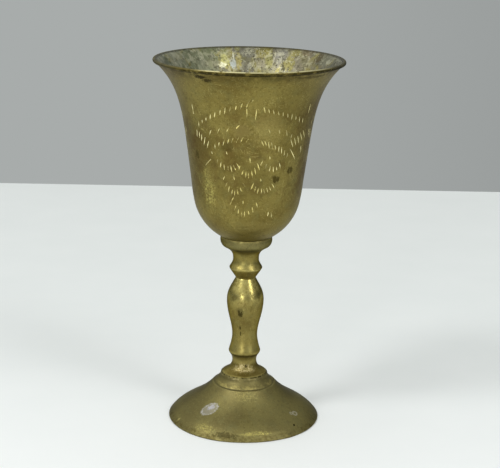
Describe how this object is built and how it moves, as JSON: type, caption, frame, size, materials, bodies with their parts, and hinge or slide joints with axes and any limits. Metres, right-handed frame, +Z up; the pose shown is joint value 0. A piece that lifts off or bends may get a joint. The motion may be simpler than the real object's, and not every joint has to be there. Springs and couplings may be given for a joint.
{
  "type": "ciborium vessel",
  "caption": "Open footed goblet with a flared bowl on a turned baluster stem and a hollow domed foot, held together by a threaded rod.",
  "frame": {"origin": "centre of the base, on the surface the vessel stands on", "axes": "+Z up along the axis of the stem, through the bowl's mouth; X and Y are alike"},
  "size_m": [0.084, 0.084, 0.165],
  "materials": {
    "aged_brass": "aged, olive patina with worn bright edges; the bowl is silver-plated inside",
    "dark_brass": "aged, darker patina in the turned hollows",
    "zinc_steel": "dull zinc-plated"
  },
  "bodies": {
    "vessel": {"cup_bowl": "aged_brass", "bowl_boss": "dark_brass", "upper_knop": "dark_brass", "baluster_stem": "aged_brass", "foot_socket": "dark_brass", "domed_foot": "aged_brass", "tie_rod": "zinc_steel"},
    "washers": {"foot_washer": "zinc_steel", "spring_washer": "zinc_steel"},
    "nut": {"hex_nut": "zinc_steel"}
  },
  "joints": [
    {"name": "washer_drop", "type": "slide", "parent": "vessel", "child": "washers", "axis": [0, 0, -1], "range_m": [0, 0.0056]},
    {"name": "nut_turn", "type": "hinge", "parent": "washers", "child": "nut", "pos_m": [0, 0, 0.0152], "axis": [0, 0, -1], "range_deg": [0, 2525]}
  ],
  "couplings": [
    {"joint": "nut_turn", "follows": "washer_drop", "rad_per_m": 7854}
  ]
}
